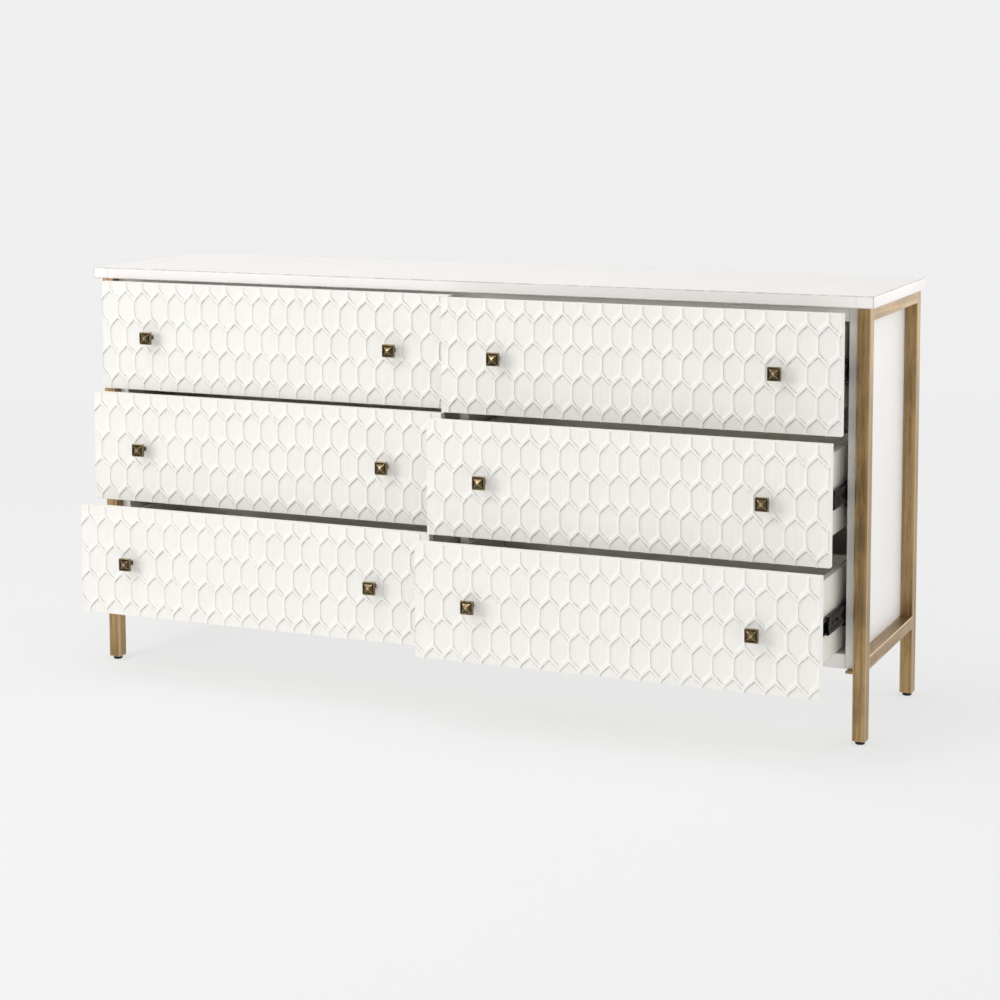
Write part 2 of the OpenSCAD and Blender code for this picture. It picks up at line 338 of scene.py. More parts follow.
class Shape:
    """Points, faces and an edge weight per point, gathered from several solids."""

    def __init__(self):
        self.points, self.faces, self.wear = [], [], []

    def add(self, points, faces, wear=None):
        start = len(self.points)
        self.points += [tuple(p) for p in points]
        self.faces += [[start + i for i in f] for f in faces]
        self.wear += list(wear) if wear is not None else [0.0] * len(points)
        return self

    def piece(self, name, body, slot, material, replaces=(), crease=32):
        """Makes the object, which rides on a body and stands for CAD nodes."""
        mesh = bpy.data.meshes.new(name)
        mesh.from_pydata(self.points, [], self.faces)
        weights = mesh.attributes.new("wear", "FLOAT", "POINT")
        weights.data.foreach_set("value", np.array(self.wear, np.float32))
        mesh_piece(mesh, name, body, material, replaces, crease)


def mesh_piece(mesh, name, body, material, replaces, crease):
    """Makes a mesh into a piece, with edges kept sharp where faces turn by more than crease."""
    mesh.materials.append(MATERIALS[material])
    mesh.validate()
    mesh.shade_smooth()
    mesh.set_sharp_from_angle(angle=math.radians(crease))
    made = bpy.data.objects.new(name, mesh)
    bpy.context.scene.collection.objects.link(made)
    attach(made, body)
    if replaces:
        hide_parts(*replaces)


def solids(node):
    """Lowest and highest corner of each separate solid of a CAD node, sorted by X, Y and Z."""
    shape = bmesh.new()
    shape.from_mesh(frame["nodes"][node].data)
    bmesh.ops.remove_doubles(shape, verts=shape.verts, dist=TOUCH)
    unseen = set(shape.verts)
    found = []
    while unseen:
        group = [unseen.pop()]
        for vert in group:
            near = {e.other_vert(vert) for e in vert.link_edges} & unseen
            unseen -= near
            group.extend(near)
        spread = np.array([v.co for v in group])
        found.append((Vector(spread.min(0)), Vector(spread.max(0))))
    shape.free()
    return sorted(found, key=lambda box: tuple(round(c, 4) for c in box[0]))


def rounded_outline(corners, radius):
    """A polygon with rounded corners, anticlockwise, and the edge weight of each of its points."""
    corners = [np.array(c, float) for c in corners]
    points, wear = [], []
    for before, corner, after in zip(corners[-1:] + corners[:-1], corners, corners[1:] + corners[:1]):
        into = (corner - before) / np.linalg.norm(corner - before)
        out = (after - corner) / np.linalg.norm(after - corner)
        turn = 1 if into[0] * out[1] - into[1] * out[0] > 0 else -1
        centre = corner - into * radius + turn * radius * np.array([-into[1], into[0]])
        if min(np.linalg.norm(corner - before), np.linalg.norm(after - corner)) > 2 * (radius + SUPPORT):
            points.append(corner - into * (radius + SUPPORT))
            wear.append(0.0)
            tail = corner + out * (radius + SUPPORT)
        else:
            tail = None
        start = math.atan2(*((corner - into * radius) - centre)[::-1])
        for step in range(ARC_STEPS + 1):
            angle = start + turn * step / ARC_STEPS * math.pi / 2
            points.append(centre + radius * np.array([math.cos(angle), math.sin(angle)]))
            wear.append(0.55 if step in (0, ARC_STEPS) else 1.0)
        if tail is not None:
            points.append(tail)
            wear.append(0.0)
    return np.array(points), np.array(wear)


def inset(outline, distance):
    """The outline moved inwards by distance at each point."""
    ahead = np.roll(outline, -1, 0) - outline
    ahead /= np.linalg.norm(ahead, axis=1)[:, None]
    inward = np.stack([-ahead[:, 1], ahead[:, 0]], 1)
    both = inward + np.roll(inward, 1, 0)
    both /= np.sum(both * both, axis=1)[:, None] / 2
    return outline + both * distance


def bridge(count, rings):
    """Faces between closed rings of count points each, with a face across both ends."""
    faces = [list(range(count))[::-1]]
    for r in range(rings - 1):
        for i in range(count):
            j = (i + 1) % count
            faces.append([r * count + i, r * count + j, (r + 1) * count + j, (r + 1) * count + i])
    faces.append([(rings - 1) * count + i for i in range(count)])
    return faces


AXIS_ORDER = {"x": (2, 0, 1), "y": (1, 2, 0), "z": (0, 1, 2)}  # where x, y and z come from in (u, v, w)


def prism(outline, wear, start, end, axis, bevel):
    """A solid with that outline across the axis, and rounded end edges."""
    turns = [math.pi / 2 * k / ARC_STEPS for k in range(ARC_STEPS + 1)]
    first = [(start + bevel * (1 - math.cos(t)), bevel * (1 - math.sin(t)), 1.0) for t in turns]
    first[-1] = (start + bevel, 0, 0.55)
    stations = list(first)
    if end - start > 2 * (bevel + SUPPORT):
        stations.append((start + bevel + SUPPORT, 0, 0))
        stations.append((end - bevel - SUPPORT, 0, 0))
    stations += [(start + end - w, i, a) for w, i, a in first[::-1]]
    points, weights = [], []
    for w, step_in, arris in stations:
        ring = inset(outline, step_in) if step_in else outline
        order = np.column_stack([ring, np.full(len(ring), w)])
        points.append(order[:, AXIS_ORDER[axis]])
        weights.append(np.maximum(wear, arris) if start < w < end else np.zeros(len(ring)))
    return np.concatenate(points), bridge(len(outline), len(stations)), np.concatenate(weights)


def board(low, high, axis, radius=0.8 * MM):
    """A box with rounded edges, extruded along one axis."""
    u, v, w = {"x": (1, 2, 0), "y": (2, 0, 1), "z": (0, 1, 2)}[axis]
    corners = [(low[u], low[v]), (high[u], low[v]), (high[u], high[v]), (low[u], high[v])]
    return prism(*rounded_outline(corners, radius), low[w], high[w], axis, radius)


def placed(points, origin, right, up):
    """Points from a local frame, whose third axis is right x up, into the row frame."""
    right, up = Vector(right), Vector(up)
    basis = np.array([right, up, right.cross(up)])
    return np.asarray(points) @ basis + np.array(origin)


def turned(profile, count):
    """A solid of revolution about the local third axis, from (radius, height, wear) steps."""
    angles = [2 * math.pi * k / count for k in range(count)]
    points, wear = [], []
    for radius, height, arris in profile:
        points += [(radius * math.cos(a), radius * math.sin(a), height) for a in angles]
        wear += [arris] * count
    return points, bridge(count, len(profile)), wear


# ---- case and end frames ----

SEAM_FROM_END = 32 * MM  # end block of the top
SEAM_DEPTH = 0.6 * MM


def make_top():
    """The top board, with a V groove in its front edge at each end block."""
    low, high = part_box("top")
    radius = 1.2 * MM
    corners = [(low.y, low.z), (high.y, low.z), (high.y, high.z), (low.y, high.z)]
    outline, wear = rounded_outline(corners, radius)
    points, _, weights = prism(outline, wear, low.x, high.x, "x", radius)
    rings = len(points) // len(outline)
    points = points.reshape(rings, len(outline), 3)
    weights = weights.reshape(rings, len(outline))
    on_front = outline[:, 0] < low.y + 2 * radius
    new_points, new_weights = list(points[:rings // 2]), list(weights[:rings // 2])
    for seam in (low.x + SEAM_FROM_END, high.x - SEAM_FROM_END):
        # mm from the seam, and how deep the groove is there
        for shift, depth in ((-1, 0), (-0.35, 0), (0, SEAM_DEPTH), (0.35, 0), (1, 0)):
            ring = points[rings // 2].copy()
            ring[:, 0] = seam + shift * MM
            ring[on_front, 1] += depth
            new_points.append(ring)
            new_weights.append(np.where(on_front & (depth > 0), 1.0, weights[rings // 2]))
    new_points += list(points[rings // 2:])
    new_weights += list(weights[rings // 2:])
    shape = Shape().add(np.concatenate(new_points), bridge(len(outline), len(new_points)),
                        np.concatenate(new_weights))
    shape.piece("painted_top", "case", "painted_top", "painted_top", ["top"])


def make_boards():
    uprights = {"left_side_panel": "left_side_board", "right_side_panel": "right_side_board",
                "partition": "partition_board"}
    levels = {"case_top": "case_top_board", "case_bottom": "case_bottom_board"}
    for node, name in uprights.items():
        Shape().add(*board(*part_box(node), "z")).piece(name, "case", "painted_case", "painted_case", [node])
    for node, name in levels.items():
        Shape().add(*board(*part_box(node), "x")).piece(name, "case", "painted_case", "painted_case", [node])
    Shape().add(*board(*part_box("back_panel"), "y", 0.6 * MM)).piece(
        "back_board", "case", "painted_case", "painted_case", ["back_panel"])


TUBE_CORNER = 1.7 * MM
TUBE_WALL = 1.5 * MM


def make_end_frames():
    for side in ("left", "right"):
        for end in ("front", "back"):
            node = f"{end}_{side}_leg"
            low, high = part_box(node)
            Shape().add(*leg(low, high)).piece(
                f"{end}_{side}_tube_leg", "case", "brushed_brass", "upright_brass", [node])
    for node, name in (("top_rails", "top_tube_rails"), ("lower_rails", "lower_tube_rails")):
        shape = Shape()
        for low, high in solids(node):
            shape.add(*board(low, high, "y", TUBE_CORNER))
        shape.piece(name, "case", "brushed_brass", "level_brass", [node])
    shape = Shape()
    for low, high in solids("support_bars"):
        shape.add(*board(low, high, "y", 0.7 * MM))
    shape.piece("flat_support_bars", "case", "brushed_brass", "level_brass", ["support_bars"])


def leg(low, high):
    """Square tube with a drilled plate set into its lower end."""
    corners = [(low.x, low.y), (high.x, low.y), (high.x, high.y), (low.x, high.y)]
    outline, wear = rounded_outline(corners, TUBE_CORNER)
    centre = (outline.min(0) + outline.max(0)) / 2
    plate_rise, plate_thick = 0.8 * MM, 2 * MM
    hole = 4.2 * MM
    chamfer = 0.3 * MM
    inner = inset(outline, TUBE_WALL)
    around = (outline - centre) / np.linalg.norm(outline - centre, axis=1)[:, None]
    rings = [
        (centre + around * hole, low.z + plate_rise + plate_thick, 0),
        (centre + around * hole, low.z + plate_rise, 0.3),
        (inner, low.z + plate_rise, 0),
        (inner, low.z, 1),
        (inset(outline, chamfer), low.z, 1),
        (outline, low.z + chamfer, 1),
        (outline, low.z + SUPPORT, 0),
        (outline, high.z - SUPPORT, 0),
        (outline, high.z, 0.5),
    ]
    points = [np.column_stack([ring, np.full(len(ring), z)]) for ring, z, _ in rings]
    weights = [np.maximum(wear, arris) for _, _, arris in rings]
    return np.concatenate(points), bridge(len(outline), len(rings)), np.concatenate(weights)


def make_glides():
    shape = Shape()
    for low, high in solids("glides"):
        radius = (high.x - low.x) / 2
        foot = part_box("front_left_leg")[0].z - low.z
        profile = [
            (radius - 1.6 * MM, 0, 0), (radius - 0.5 * MM, 0.5 * MM, 0.5), (radius, 1.8 * MM, 0),
            (radius, foot - 1.6 * MM, 0), (radius - 0.6 * MM, foot - 0.5 * MM, 0.5),
            (radius - 1.8 * MM, foot - 0.1 * MM, 0), (4 * MM, foot, 0), (4 * MM, high.z - low.z, 0),
        ]
        points, faces, wear = turned(profile, 32)
        shape.add(placed(points, ((low.x + high.x) / 2, (low.y + high.y) / 2, low.z), (1, 0, 0), (0, 1, 0)),
                  faces, wear)
    shape.piece("floor_glides", "case", "glide_plastic", "glide_plastic", ["glides"])


def screw_head(radius, height, depth):
    """Pan head with a cross recess, standing on the local plane and driven from above."""
    count = 32
    angles = np.arange(count) * 2 * math.pi / count
    near = np.abs((np.arange(count) + 4) % 8 - 4)  # steps from the middle of the nearest arm
    reach = np.select([near == 0, near == 1, near == 2], [0.62, 0.50, 0.20], 0.17) * radius
    rings = [(radius, 0, 0.2), (radius, 0.35 * height, 0.4), (0.93 * radius, 0.72 * height, 1),
             (0.75 * radius, height, 0.4)]
    points, wear = [], []
    for r, z, arris in rings:
        points += [(r * math.cos(a), r * math.sin(a), z) for a in angles]
        wear += [arris] * count
    for share, z in ((1.0, height), (0.9, height - depth)):
        points += [(share * r * math.cos(a), share * r * math.sin(a), z) for r, a in zip(reach, angles)]
        wear += [0.3 if z == height else 0.0] * count
    return points, bridge(count, len(rings) + 2), wear


def make_case_screws():
    shape = Shape()
    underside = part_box("support_bars")[0].z
    for low, high in solids("case_screws"):
        head = underside - low.z
        origin = ((low.x + high.x) / 2, (low.y + high.y) / 2, underside)
        points, faces, wear = screw_head((high.x - low.x) / 2, head, 0.7 * head)
        shape.add(placed(points, origin, (1, 0, 0), (0, -1, 0)), faces, wear)
    shape.piece("case_pan_screws", "case", "screw_steel", "screw_steel", ["case_screws"])


# ---- drawer slides ----

SHEET = 1.2 * MM
LIP_LEAD, LIP_DROP = 1.5 * MM, 0.5 * MM  # how far a channel's lips are eased inwards and down
THROUGH_BACK = (-3 * MM, 5 * MM)  # reach of a cutter outside and inside a channel's back
CAGE_HEIGHT = 20 * MM  # a solid lower than this is a ball cage, and a higher one is a channel


def rolled_section(height, lip, rib):
    """Closed outline of a rolled channel: x from its back to its lips, z across. The middle of
    its back is pressed in by rib."""
    half = height / 2
    corner = 2.0 * MM
    flat = half - corner
    foot, head = flat * 0.62, flat * 0.52  # half width of the rib where it starts and ends
    middle = [(0, -flat), (0, -foot), (rib, -head), (rib, head), (0, foot), (0, flat)]
    turns = np.linspace(0, math.pi / 2, 4)
    lower = [(corner * (1 - math.cos(t)), -flat - corner * math.sin(t)) for t in turns]
    upper = [(x, -z) for x, z in lower]
    outside = [(lip, -half + LIP_DROP), (lip - LIP_LEAD, -half)] + lower[::-1][:-1] + middle
    outside += upper[1:] + [(lip - LIP_LEAD, half), (lip, half - LIP_DROP)]
    outside = np.array(outside)
    ahead = np.gradient(outside, axis=0)
    ahead /= np.linalg.norm(ahead, axis=1)[:, None]
    inside = outside + np.stack([ahead[:, 1], -ahead[:, 0]], 1) * SHEET
    return np.concatenate([outside, inside[::-1]])


def slot_cutter(y, z, length, width):
    """Upright solid through the back of a channel: a hole, or a slot with round ends."""
    count = 16
    angles = [2 * math.pi * (k + 0.5) / count for k in range(count)]
    ends = [math.copysign((length - width) / 2, math.sin(a)) for a in angles]
    ring = [(y + e + width / 2 * math.sin(a), z + width / 2 * math.cos(a)) for a, e in zip(angles, ends)]
    points = [(x, *p) for x in THROUGH_BACK for p in ring]
    return points, bridge(count, 2)


def cut_member(section, length, cuts):
    """A channel from y = 0 to length with holes through its back, as points and faces."""
    count = len(section)
    points = [(x, y, z) for y in (0, length) for x, z in section]
    body = bpy.data.meshes.new("member")
    body.from_pydata(points, [], bridge(count, 2))
    tools = Shape()
    for cut in cuts:
        tools.add(*slot_cutter(*cut))
    tool = bpy.data.meshes.new("cuts")
    tool.from_pydata(tools.points, [], tools.faces)
    for mesh in (body, tool):
        shape = bmesh.new()
        shape.from_mesh(mesh)
        bmesh.ops.recalc_face_normals(shape, faces=shape.faces)
        shape.to_mesh(mesh)
        shape.free()
    holder = bpy.data.objects.new("member", body)
    cutter = bpy.data.objects.new("cuts", tool)
    for made in (holder, cutter):
        bpy.context.scene.collection.objects.link(made)
    holes = holder.modifiers.new("holes", "BOOLEAN")
    holes.operation, holes.solver, holes.object = "DIFFERENCE", "EXACT", cutter
    done = bpy.data.meshes.new_from_object(holder.evaluated_get(bpy.context.evaluated_depsgraph_get()))
    result = [tuple(v.co) for v in done.vertices], [list(f.vertices) for f in done.polygons]
    for made in (holder, cutter):
        bpy.data.objects.remove(made)
    return result


def member_cuts(length, big, small):
    """Screw holes, slots and round holes along the back of a member."""
    cuts = []
    for share in (0.08, 0.5, 0.92):
        cuts.append((share * length, 0, small, small))
    for share in (0.17, 0.41, 0.70):
        cuts.append((share * length, 0, big, small))
    for share in (0.27, 0.60, 0.82):
        cuts.append((share * length, 0, big * 0.6, big * 0.6))
    return cuts


def slide_member(low, high, length, rib, slot, hole):
    """A channel that is as wide and as high as its box, with slots and holes through its back."""
    section = rolled_section(high.z - low.z, high.x - low.x, rib)
    return cut_member(section, length, member_cuts(length, slot, hole))


def both_ways(shape, points, faces, low, high, back_is_low):
    """Adds a member whose local x = 0 back lies on the low or the high X face of its box."""
    points = np.array(points)
    if back_is_low:
        shape.add(points + (low.x, low.y, (low.z + high.z) / 2), faces)
    else:
        shape.add(points * (-1, 1, 1) + (high.x, low.y, (low.z + high.z) / 2), [f[::-1] for f in faces])


def make_slides():
    fixed = solids("cabinet_slides")
    low, high = fixed[0]
    length = high.y - low.y
    outer = slide_member(low, high, length, rib=0.5 * MM, slot=16 * MM, hole=5 * MM)
    rows = len(DRAWERS) // 2
    shape = Shape()
    for index, (low, high) in enumerate(fixed):
        both_ways(shape, *outer, low, high, back_is_low=index // rows % 2 == 0)
    black = ("black_slide_steel", "black_slide_steel")
    shape.piece("cabinet_slide_members", "case", *black, ["cabinet_slides"])

    for drawer in DRAWERS:
        parts = solids(f"{drawer}_middle_slides")
        channels = [box for box in parts if box[1].z - box[0].z > CAGE_HEIGHT]
        cages = [box for box in parts if box[1].z - box[0].z < CAGE_HEIGHT]
        middle = slide_member(*channels[0], length, rib=1.3 * MM, slot=14 * MM, hole=6 * MM)
        shape = Shape()
        for k, (low, high) in enumerate(channels):
            both_ways(shape, *middle, low, high, back_is_low=k == 0)
        for low, high in cages:
            add_ball_cage(shape, low, high)
        shape.piece(f"{drawer}_middle_slide_members", f"{drawer}_slide", *black, [f"{drawer}_middle_slides"])

        runners = solids(f"{drawer}_runners")
        inner = slide_member(*runners[0], length, rib=0.4 * MM, slot=12 * MM, hole=4.5 * MM)
        shape = Shape()
        for k, (low, high) in enumerate(runners):
            both_ways(shape, *inner, low, high, back_is_low=k == 1)
        shape.piece(f"{drawer}_slide_runners", f"{drawer}_drawer", *black, [f"{drawer}_runners"])


BALLS = 7


def add_ball_cage(shape, low, high):
    """Thin strip with a row of balls set into it."""
    size = high - low
    thin = 0.35 * size.z
    middle = (low.z + high.z) / 2
    under, over = (low.x, low.y, middle - thin / 2), (high.x, high.y, middle + thin / 2)
    shape.add(*board(under, over, "y", 0.25 * thin))
    radius = size.z / 2
    steps = 6
    profile = [(radius * math.sin(math.pi * k / steps), -radius * math.cos(math.pi * k / steps), 0)
               for k in range(1, steps)]
    for k in range(BALLS):
        points, faces, wear = turned(profile, 8)
        centre = ((low.x + high.x) / 2, low.y + size.y * (k + 0.5) / BALLS, middle)
        shape.add(placed(points, centre, (1, 0, 0), (0, 1, 0)), faces, wear)


SLIDE_HEAD, SLIDE_RECESS, SLIDE_SINK = 0.9 * MM, 0.7 * MM, 0.6 * MM  # SINK is below the screw's end


def make_slide_screws():
    """Heads of the screws that hold the cabinet members, facing into each drawer's bay."""
    shape = Shape()
    members = solids("cabinet_slides")
    for low, high in solids("slide_screws"):
        centre_y, centre_z = (low.y + high.y) / 2, (low.z + high.z) / 2
        middle_x = (low.x + high.x) / 2
        inner = min(members, key=lambda b: abs((b[0].x + b[1].x) / 2 - middle_x))
        into_bay = 1 if (inner[0].x + inner[1].x) / 2 > middle_x else -1
        points, faces, wear = screw_head((high.z - low.z) / 2, SLIDE_HEAD, SLIDE_RECESS)
        start = (high.x if into_bay > 0 else low.x) - into_bay * SLIDE_SINK
        shape.add(placed(points, (start, centre_y, centre_z), (0, into_bay, 0), (0, 0, 1)), faces, wear)
    shape.piece("slide_pan_screws", "case", "screw_steel", "screw_steel", ["slide_screws"])


# ---- drawers ----


def grooved_boards(shape, boards, panel, axis):
    """Adds a box's boards, each with a groove on its inner face for the bottom panel."""
    across = 0 if axis == "y" else 1
    centre = (panel[0][across] + panel[1][across]) / 2
    radius = 1.0 * MM
    clear = 0.2 * MM
    for low, high in boards:
        face = high[across] if low[across] < centre else low[across]
        edge = panel[0][across] - clear if low[across] < centre else panel[1][across] + clear
        z0, z1 = panel[0].z - clear, panel[1].z + clear
        a0, a1 = low[across], high[across]
        foot, head = [(a0, low.z), (a1, low.z)], [(a1, high.z), (a0, high.z)]
        groove = [(face, z0), (edge, z0), (edge, z1), (face, z1)]
        corners = foot + groove + head if face == a1 else foot + head + groove[::-1]
        if axis == "y":
            corners = [(z, a) for a, z in corners][::-1]
        along = 1 if axis == "y" else 0
        shape.add(*prism(*rounded_outline(corners, radius), low[along], high[along], axis, radius * 0.9))


def make_boxes():
    for drawer in DRAWERS:
        body = f"{drawer}_drawer"
        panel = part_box(f"{drawer}_bottom")
        shape = Shape()
        grooved_boards(shape, solids(f"{drawer}_box_sides"), panel, "y")
        shape.piece(f"{drawer}_box_side_boards", body, "drawer_box", "drawer_box", [f"{drawer}_box_sides"])
        shape = Shape()
        grooved_boards(shape, solids(f"{drawer}_box_ends"), panel, "x")
        shape.piece(f"{drawer}_box_end_boards", body, "drawer_box", "drawer_box", [f"{drawer}_box_ends"])
        Shape().add(*board(*panel, "y", 0.5 * MM)).piece(
            f"{drawer}_bottom_board", body, "drawer_box", "drawer_box", [f"{drawer}_bottom"])


# The carving: rows of upright hexagons cut as shallow scoops, with a flat band between the rows.
CELLS_ACROSS = 20  # and one more at each end, cut off by the board's ends
ROWS = 4  # and one more above them, cut off by the board's top
CELL_PITCH = 38.4 * MM
ROW_PITCH = 54.8 * MM
POINT_RISE = 17.9 * MM  # height of a cell's pointed part
# Each front's cells start at a place of their own: left end of the pattern from the front's left
# end, and first points below its top edge, in mm
PATTERN_START = {"upper_left": (0.0, 15.1), "upper_right": (-4.5, 19.0), "middle_left": (-3.0, 20.5),
                 "middle_right": (-3.2, 21.0), "lower_left": (-1.0, 20.0), "lower_right": (-0.5, 26.4)}
SIDE_RIM = 0.25 * MM  # half width of the ridge between neighbours in a row
POINT_RIM = 2.1 * MM  # half width of the band between rows
SIDE_STEPS = 6  # segments along each of a cell's six sides
CORNER_EASE, BESIDE_EASE = 0.28, 0.12  # how far a side corner and the points beside it are rounded off
SCOOP_DEPTH = 2.2 * MM
SPINE_SHORT = 15 * MM  # how far short of a cell's point the deepest line of its scoop ends
# The six sides from the top point round by the left: how deep the knife went at the edge, how far
# in the scoop goes on sloping, how much wash stayed in the cut, more on the walls that face away from
# the light as painted shade, and how white the edge was rubbed, most on the lower right walls that
# face the light as painted highlight
SIDES = [(1.1 * MM, 5.0 * MM, 1.0, 0.3), (0.36 * MM, 5.0 * MM, 0.30, 0.2), (0.7 * MM, 6.0 * MM, 0.8, 0.4),
         (0.35 * MM, 6.0 * MM, 0.28, 0.5), (0.25 * MM, 6.0 * MM, 0.0, 0.3), (0.9 * MM, 5.5 * MM, 1.0, 0.3)]
RING_REACH = [0, 0.3, 0.75, 1.4, 2.6, 4.2, 6.5]  # mm in from a cell's cut edge
RING_WASH_AND_SHADE = [0.15, 1.0, 0.85, 0.22, 0.12, 0.05, 0.0]  # how much of the wash, partly painted shade, stays there
RING_DROP = [0, 1.0, 0.85, 0.92, 1.0, 1.0, 1.0]  # how much of the edge's depth: a groove, then the scoop
RING_RUB_AND_HIGHLIGHT = [0.9, 0.9, 1.0, 1.0, 0.8, 0.3, 0.0]  # how much of the edge's white, rubbed paint and painted highlight, reaches there
BAND_RUB = 0.4
UNEVEN_DEPTH, UNEVEN_SIZE, UNEVEN_PLACE = 0.15, 0.012, 0.18 * MM  # most that one cell differs by
WANDER, WANDER_WAVES, WANDER_RATE = 0.16 * MM, 5, 120  # each wave's height, how many, radians per metre
ARRIS = 0.5 * MM
WELD = 0.02 * MM  # closer points of neighbouring cells become one


def cell_pattern():
    """A cell's outer hexagon, its cut edge and its spine, and SIDES spread over its points."""
    half_w = CELL_PITCH / 2
    point = ROW_PITCH / 2 + POINT_RISE / 2
    shoulder = point - POINT_RISE
    corners = [(0, point), (-half_w, shoulder), (-half_w, -shoulder), (0, -point), (half_w, -shoulder),
               (half_w, shoulder)]
    cut_point = point - POINT_RIM * math.hypot(half_w, POINT_RISE) / half_w
    cut_half_w = half_w - SIDE_RIM
    cut_shoulder = cut_point - POINT_RISE * cut_half_w / half_w
    outer, cut, sides = [], [], []
    for side, (start, end) in enumerate(zip(corners, corners[1:] + corners[:1])):
        for step in range(SIDE_STEPS):
            share = step / SIDE_STEPS
            x = start[0] + (end[0] - start[0]) * share
            z = start[1] + (end[1] - start[1]) * share
            outer.append((x, z))
            out = abs(x) / half_w
            if side in (1, 4):
                cut.append((math.copysign(cut_half_w, x), z * cut_shoulder / shoulder))
            else:
                cut.append((math.copysign(out * cut_half_w, x),
                            math.copysign(cut_point - (cut_point - cut_shoulder) * out, z)))
            before = SIDES[side - 1] if step == 0 else SIDES[side]
            sides.append([(a + b) / 2 for a, b in zip(before, SIDES[side])])
    outer, cut, sides = np.array(outer), np.array(cut), np.array(sides)
    for corner in (1, 2, 4, 5):
        k = corner * SIDE_STEPS
        near = cut[k - 2:k + 3].copy()
        cut[k] += CORNER_EASE * (near[1] + near[3] - 2 * near[2])
        cut[k - 1] += BESIDE_EASE * (near[0] + near[3] - 2 * near[1])
        cut[k + 1] += BESIDE_EASE * (near[1] + near[4] - 2 * near[3])
    reach = cut[:, 1] / cut[0, 1]
    height = (cut[0, 1] - SPINE_SHORT) * (1.25 * reach - 0.25 * reach ** 3)
    return outer, cut, np.column_stack([np.zeros(len(cut)), height]), sides.T


def drift(points, rng):
    """Slow sideways wander of hand-cut lines, the same for points in the same place."""
    moved = np.zeros_like(points)
    for axis in (0, 1):
        for _ in range(WANDER_WAVES):
            wave = rng.uniform(-1, 1, 2) * WANDER_RATE
            phase = rng.uniform(0, 6.28)
            moved[:, axis] += WANDER * np.sin(points @ wave + phase)
    return moved


def carved_face(height, start, rng):
    """Mesh of the carved surface: x from the left end, z from the bottom edge, y the depth."""
    outer, cut, spine, (drop, slope_reach, wash_and_shade_weight, white) = cell_pattern()
    count = len(outer)
    first = height - start[1] * MM - ROW_PITCH / 2 - POINT_RISE / 2
    points, faces, wash_and_shade, rim = [], [], [], []
    made = 0
    for row in range(-1, ROWS):
        shift = 0.5 if row % 2 == 0 else 0
        for column in range(-1, CELLS_ACROSS + 1):
            centre = np.array([start[0] * MM + (column + shift) * CELL_PITCH, first - row * ROW_PITCH])
            depth = rng.uniform(1 - UNEVEN_DEPTH, 1 + UNEVEN_DEPTH)
            squeeze = 1 - rng.uniform(0, UNEVEN_SIZE, 2)
            lean = rng.uniform(-UNEVEN_PLACE, UNEVEN_PLACE, 2)
            edge = cut * squeeze + lean
            far = np.linalg.norm(spine - edge, axis=1)
            rings = [(outer, 0, 0, BAND_RUB)]
            for reach, stay, knife, ring_rub_and_highlight in zip(RING_REACH, RING_WASH_AND_SHADE, RING_DROP, RING_RUB_AND_HIGHLIGHT):
                flat = edge + (spine - edge) * (reach * MM / far)[:, None]
                dish = 1 - (1 - np.minimum(1, reach * MM / slope_reach)) ** 2
                deep = (drop * knife + (SCOOP_DEPTH - drop) * dish) * depth
                rings.append((flat, deep, wash_and_shade_weight * stay, white * ring_rub_and_highlight))
            rings.append((spine, SCOOP_DEPTH * depth, 0, 0))
            for flat, deep, stay, arris in rings:
                points.append(np.column_stack([flat[:, 0] + centre[0], np.full(count, 1.0) * deep,
                                               flat[:, 1] + centre[1]]))
                wash_and_shade.append(np.full(count, 1.0) * stay)
                rim.append(np.full(count, 1.0) * arris)
            for ring in range(len(rings) - 1):
                for i in range(count):
                    j = (i + 1) % count
                    a, b = made + ring * count, made + (ring + 1) * count
                    faces.append([a + i, a + j, b + j, b + i])
            made += count * len(rings)
    points = np.concatenate(points)
    points[:, [0, 2]] += drift(points[:, [0, 2]], rng)
    return points, faces, np.concatenate(wash_and_shade), np.concatenate(rim)


